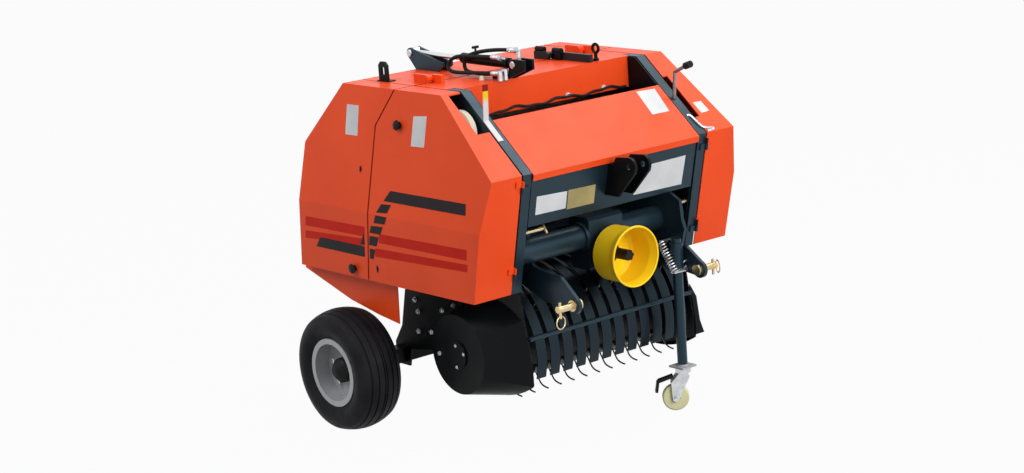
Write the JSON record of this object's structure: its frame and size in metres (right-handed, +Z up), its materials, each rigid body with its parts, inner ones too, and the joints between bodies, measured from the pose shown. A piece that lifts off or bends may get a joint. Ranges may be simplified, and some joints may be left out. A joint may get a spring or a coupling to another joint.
{
  "type": "mini round baler",
  "caption": "Tractor-mounted mini round baler: roller chamber, lifting tailgate, tined pickup, side covers, hitch.",
  "frame": {"origin": "on the floor under the middle of the machine's bounding box", "axes": "+X forward to the tractor, +Y to the machine's left, +Z up"},
  "size_m": [1.153, 1.314, 1.201],
  "materials": {
    "cover_paint": "semi-gloss orange-red enamel",
    "frame_paint": "semi-gloss slate enamel",
    "black_paint": "semi-gloss black enamel",
    "guard_yellow": "moulded yellow plastic",
    "steel": "bare turned steel",
    "zinc": "yellow-zinc plated steel",
    "chrome": "hard chrome",
    "tyre": "black rubber",
    "rim": "silver paint",
    "caster_cream": "cream nylon",
    "twine": "baler twine"
  },
  "bodies": {
    "frame": {"side_plate_left": "black_paint", "side_plate_right": "black_paint", "front_beam": "frame_paint", "inner_wall": "cover_paint", "top_panel": "cover_paint", "upright_left": "frame_paint", "upright_right": "frame_paint", "cross_plate": "frame_paint", "hood": "cover_paint", "frame_rollers": "steel", "axle": "black_paint", "hitch_arm_left": "frame_paint", "hitch_arm_right": "frame_paint", "hitch_pin_left": "zinc", "hitch_pin_right": "zinc", "top_link_ears": "frame_paint", "cross_tube": "frame_paint", "gearbox": "frame_paint", "pto_guard": "guard_yellow", "guard_strips": "frame_paint", "wind_bar": "frame_paint", "pickup_drum_left": "black_paint", "pickup_drum_right": "black_paint", "pickup_pan": "black_paint", "crop_wing": "black_paint", "stand_socket": "frame_paint", "cylinder_bracket": "frame_paint", "twine_spool": "twine", "tying_lever": "black_paint", "lifting_ring": "frame_paint"},
    "wheel_left": {"tyre_left": "tyre", "rim_left": "rim"},
    "wheel_right": {"tyre_right": "tyre", "rim_right": "rim"},
    "pto": {"pto_shaft": "steel"},
    "pickup_reel": {"reel": "frame_paint"},
    "stand": {"stand_pole": "frame_paint"},
    "caster_swivel": {"caster_fork": "zinc"},
    "caster": {"caster_wheel": "caster_cream"},
    "tailgate": {"gate_shell": "cover_paint", "gate_wall_left": "frame_paint", "gate_wall_right": "frame_paint", "gate_skirt_left": "cover_paint", "gate_skirt_right": "cover_paint", "gate_rollers": "steel", "gate_lug": "frame_paint", "gate_lifting_eye": "frame_paint"},
    "cylinder": {"cylinder_barrel": "black_paint"},
    "cylinder_ram": {"cylinder_rod": "chrome"},
    "front_door_left": {"front_cover_left": "cover_paint"},
    "front_door_right": {"front_cover_right": "cover_paint"},
    "rear_door_left": {"rear_cover_left": "cover_paint"},
    "rear_door_right": {"rear_cover_right": "cover_paint"}
  },
  "joints": [
    {"name": "wheel_left_spin", "type": "hinge", "parent": "frame", "child": "wheel_left", "pos_m": [-0.2735, 0.575, 0.203], "axis": [0, 1, 0], "continuous": true},
    {"name": "wheel_right_spin", "type": "hinge", "parent": "frame", "child": "wheel_right", "pos_m": [-0.2735, -0.575, 0.203], "axis": [0, 1, 0], "continuous": true},
    {"name": "pto_spin", "type": "hinge", "parent": "frame", "child": "pto", "pos_m": [0.4505, 0, 0.57], "axis": [1, 0, 0], "continuous": true},
    {"name": "reel_spin", "type": "hinge", "parent": "frame", "child": "pickup_reel", "pos_m": [0.1455, 0, 0.29], "axis": [0, 1, 0], "continuous": true},
    {"name": "stand_slide", "type": "slide", "parent": "frame", "child": "stand", "axis": [0, 0, 1], "range_m": [0, 0.15]},
    {"name": "caster_turn", "type": "hinge", "parent": "stand", "child": "caster_swivel", "pos_m": [0.4605, 0.232, 0.135], "axis": [0, 0, 1], "continuous": true},
    {"name": "caster_spin", "type": "hinge", "parent": "caster_swivel", "child": "caster", "pos_m": [0.4425, 0.21055, 0.044], "axis": [-0.766, 0.6428, 0], "continuous": true},
    {"name": "tailgate_lift", "type": "hinge", "parent": "frame", "child": "tailgate", "pos_m": [-0.0435, 0, 1.146], "axis": [0, 1, 0], "range_deg": [0, 60]},
    {"name": "cylinder_tilt", "type": "hinge", "parent": "frame", "child": "cylinder", "pos_m": [0.1855, -0.15, 1.18], "axis": [0, 1, 0], "range_deg": [0, 35.34]},
    {"name": "cylinder_pull", "type": "slide", "parent": "cylinder", "child": "cylinder_ram", "axis": [1, 0, -0.0076], "range_m": [0, 0.1061]},
    {"name": "front_door_left_swing", "type": "hinge", "parent": "frame", "child": "front_door_left", "pos_m": [0.37831, 0.39275, 0.50837], "axis": [0.2324, 0, 0.9726], "range_deg": [-80, 0]},
    {"name": "front_door_right_swing", "type": "hinge", "parent": "frame", "child": "front_door_right", "pos_m": [0.37831, -0.39275, 0.50837], "axis": [0.2324, 0, 0.9726], "range_deg": [0, 80]},
    {"name": "rear_door_left_swing", "type": "hinge", "parent": "tailgate", "child": "rear_door_left", "pos_m": [-0.55048, 0.39275, 0.51058], "axis": [0.0836, 0, 0.9965], "range_deg": [0, 80]},
    {"name": "rear_door_right_swing", "type": "hinge", "parent": "tailgate", "child": "rear_door_right", "pos_m": [-0.55048, -0.39275, 0.51058], "axis": [0.0836, 0, 0.9965], "range_deg": [-80, 0]}
  ],
  "couplings": [
    {"joint": "cylinder_tilt", "follows": "tailgate_lift", "ratio": 0.58067},
    {"joint": "cylinder_pull", "follows": "tailgate_lift", "m_per_rad": 0.10036}
  ]
}
